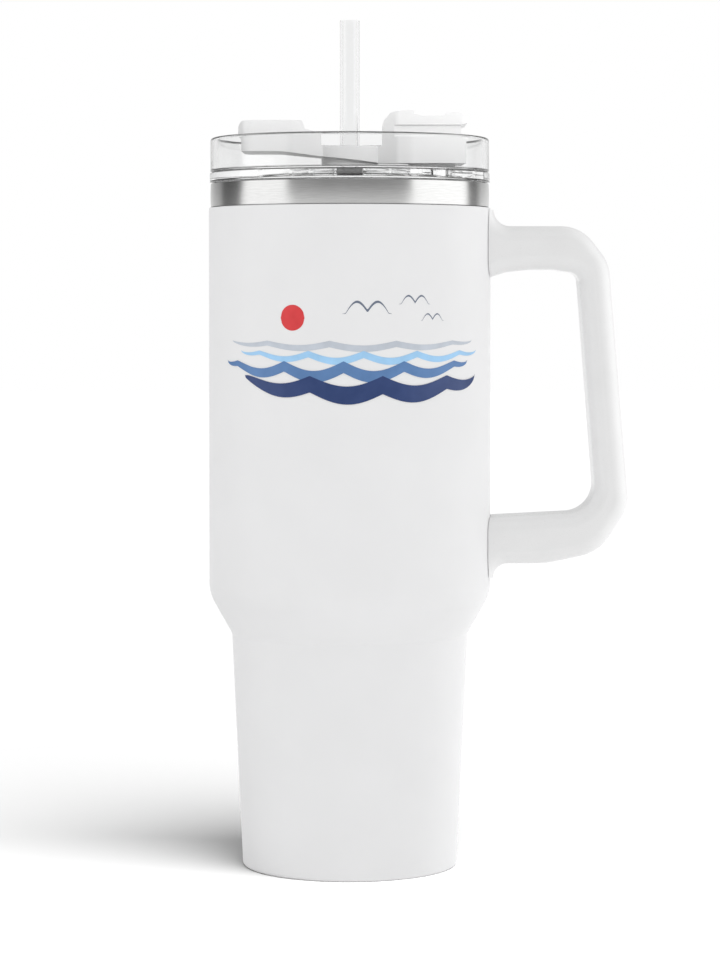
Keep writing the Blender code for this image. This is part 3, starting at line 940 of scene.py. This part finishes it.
# what the polished steel and the plastics mirror, going round the cup:
# (degrees from the camera, brightness), 0 is the camera's side and 90 the handle's
surround = {
    "stops": [
        (-180, 0.95), (-159, 0.75), (-148, 0.62), (-140, 0.55), (-133, 0.44), (-127, 0.21), (-120, 0.18),
        (-112, 0.21), (-106, 0.25), (-102, 0.44), (-98, 1.10), (-93, 1.40), (-60, 1.38), (-55, 1.36),
        (-51, 0.94), (-47, 0.70), (-42, 0.64), (-20, 0.59), (20, 0.58), (40, 0.60), (46, 0.66), (51, 0.98),
        (55, 1.52), (108, 1.60), (112, 1.36), (115, 0.54), (119, 0.32), (127, 0.29), (132, 0.50), (139, 0.78),
        (150, 0.86), (180, 0.95),
    ],
    "peak": 1.6,
    "lowGain": 1.56,          # a little below the horizon, outside the two bright panels
    "highGain": 0.58,         # a little above it
    "band": 0.12,
    "top": 0.95,
    "bottom": 1.00,
    "ambient": 0.86,
    "overhead": 0.16,
    "rightGlow": 0.60,
    "rightFocus": 16.0,
    "leftGlow": 0.15,
    "leftFocus": 6.0,
}


def makeSurround():
    world = bpy.data.worlds.new("studio")
    scene.world = world
    world.use_nodes = True
    tree = world.node_tree
    tree.nodes.clear()
    world.cycles.sampling_method = "NONE"
    place = addNode(tree, "ShaderNodeTexCoord")
    split = addNode(tree, "ShaderNodeSeparateXYZ")
    tree.links.new(place.outputs["Generated"], split.inputs["Vector"])

    def calc(operation, *values):
        node = addNode(tree, "ShaderNodeMath", {"operation": operation})
        for socket, value in zip(node.inputs, values):
            if isinstance(value, (int, float)):
                socket.default_value = value
            else:
                tree.links.new(value, socket)
        return node.outputs["Value"]

    def mixValues(factor, first, second):
        return calc("ADD", calc("MULTIPLY", first, calc("SUBTRACT", 1.0, factor)), calc("MULTIPLY", second, factor))

    x, y, z = split.outputs
    around = calc("ARCTAN2", x, calc("MULTIPLY", y, -1.0))
    ramp = addNode(tree, "ShaderNodeValToRGB")
    stops = surround["stops"]
    elements = ramp.color_ramp.elements
    for count, (degrees, bright) in enumerate(stops):
        position = (degrees + 180) / 360
        element = elements[count] if count < 2 else elements.new(position)
        element.position = position
        value = bright / surround["peak"]
        element.color = (value, value, value, 1.0)
    tree.links.new(remap(tree, around, 0.0, 1.0, -math.pi, math.pi), ramp.inputs["Fac"])
    ring = calc("MULTIPLY", ramp.outputs["Color"], surround["peak"])
    band = surround["band"]
    gain = remap(tree, z, surround["lowGain"], surround["highGain"], -band, band)
    panel = remap(tree, ring, 0.0, 1.0, 0.9, 1.3)
    ring = calc("MULTIPLY", ring, mixValues(panel, gain, 1.0))
    ceiling = remap(tree, z, 0.0, 1.0, 0.45, 0.75)
    ground = remap(tree, z, 1.0, 0.0, -0.6, -0.25)
    mirrored = mixValues(ground, mixValues(ceiling, ring, surround["top"]), surround["bottom"])

    def glowFrom(alongX, alongY, alongZ, strength, focus):
        facing = calc("ADD", calc("MULTIPLY", x, alongX), calc("MULTIPLY", y, alongY))
        facing = calc("ADD", facing, calc("MULTIPLY", z, alongZ))
        return calc("MULTIPLY", calc("POWER", calc("MAXIMUM", facing, 0.0), focus), strength)

    rightGlow = glowFrom(0.743, 0.624, 0.24, surround["rightGlow"], surround["rightFocus"])
    leftGlow = glowFrom(-0.90, 0.40, 0.17, surround["leftGlow"], surround["leftFocus"])
    soft = calc("ADD", surround["ambient"], calc("ADD", rightGlow, leftGlow))
    soft = calc("ADD", soft, glowFrom(0.0, 0.0, 1.0, surround["overhead"], 2.0))
    ahead = remap(tree, y, 0.0, 1.0, 0.2, 0.7)
    through = mixValues(ahead, mirrored, 1.0)
    ray = addNode(tree, "ShaderNodeLightPath")
    light = mixValues(ray.outputs["Is Glossy Ray"], soft, mirrored)
    light = mixValues(ray.outputs["Is Transmission Ray"], light, through)
    light = mixValues(calc("MINIMUM", ray.outputs["Diffuse Depth"], 1.0), light, soft)
    light = mixValues(ray.outputs["Is Camera Ray"], light, 1.0)
    background = addNode(tree, "ShaderNodeBackground", Color=(1.0, 1.0, 1.0, 1.0))
    output = addNode(tree, "ShaderNodeOutputWorld")
    tree.links.new(light, background.inputs["Strength"])
    tree.links.new(background.outputs["Background"], output.inputs["Surface"])


# each lamp shines on one thing only, from a direction seen from its aim point
lamps = {
    "keyLight": {      # casts the soft shadow on the floor, to the left and behind
        "aim": (0.0, 0.0, 0.0), "azimuth": 36.0, "elevation": 51.0, "distance": 2.0, "size": 2.5, "watts": 276.0,
    },
    "coverLight": {
        "aim": (0.0, 0.0, 0.258), "azimuth": 26.0, "elevation": 14.0, "distance": 0.45, "size": 0.15, "watts": 0.60,
    },
    "handleLight": {
        "aim": (0.09, 0.0, 0.17), "azimuth": 90.0, "elevation": 2.0, "distance": 0.80, "size": 0.35, "watts": 1.8,
    },
    "edgeLight": {     # brightens the cup's right edge from behind
        "aim": (0.0, 0.0, 0.12), "azimuth": 128.0, "elevation": 6.0, "distance": 1.20, "size": 0.30, "watts": 3.1,
    },
}


def makeLamp(name, lit, ownShadow=False):
    # with ownShadow, only the thing it shines on casts a shadow
    look = lamps[name]
    azimuth, elevation = math.radians(look["azimuth"]), math.radians(look["elevation"])
    flat = look["distance"] * math.cos(elevation)
    data = bpy.data.lights.new(name, "AREA")
    data.shape = "DISK"
    data.size = look["size"]
    data.energy = look["watts"]
    lamp = bpy.data.objects.new(name, data)
    scene.collection.objects.link(lamp)
    x, y, z = look["aim"]
    lamp.location = (x + flat * math.sin(azimuth), y - flat * math.cos(azimuth),
                     z + look["distance"] * math.sin(elevation))
    lamp.rotation_euler = (math.radians(90) - elevation, 0.0, azimuth)
    lamp.visible_camera = lamp.visible_glossy = lamp.visible_transmission = False
    group = bpy.data.collections.new(name + "Only")
    group.objects.link(lit)
    lamp.light_linking.receiver_collection = group
    if ownShadow:
        lamp.light_linking.blocker_collection = group


camera = {
    "height": 0.1982,
    "distance": 1.0977,
    "lens": 116.365,
    "tiltDown": 1.629,
    "turnRight": 0.189,
    "shiftPixels": -86.0,     # keeps the cup's sides upright, as in the photograph
    "frameHeight": 959.0,
}


def makeCamera():
    data = bpy.data.cameras.new("camera")
    data.lens = camera["lens"]
    data.sensor_width = 36.0
    data.sensor_fit = "AUTO"
    data.shift_y = camera["shiftPixels"] / camera["frameHeight"]
    view = bpy.data.objects.new("camera", data)
    scene.collection.objects.link(view)
    view.location = (0.0, -camera["distance"], camera["height"])
    view.rotation_euler = (math.radians(90 - camera["tiltDown"]), 0.0, -math.radians(camera["turnRight"]))
    scene.camera = view


makeSurround()
makeLamp("keyLight", makeFloor())
makeLamp("handleLight", handle)
makeLamp("coverLight", cover, ownShadow=True)
makeLamp("edgeLight", cupBody, ownShadow=True)
makeCamera()
print("room, light and camera ready")
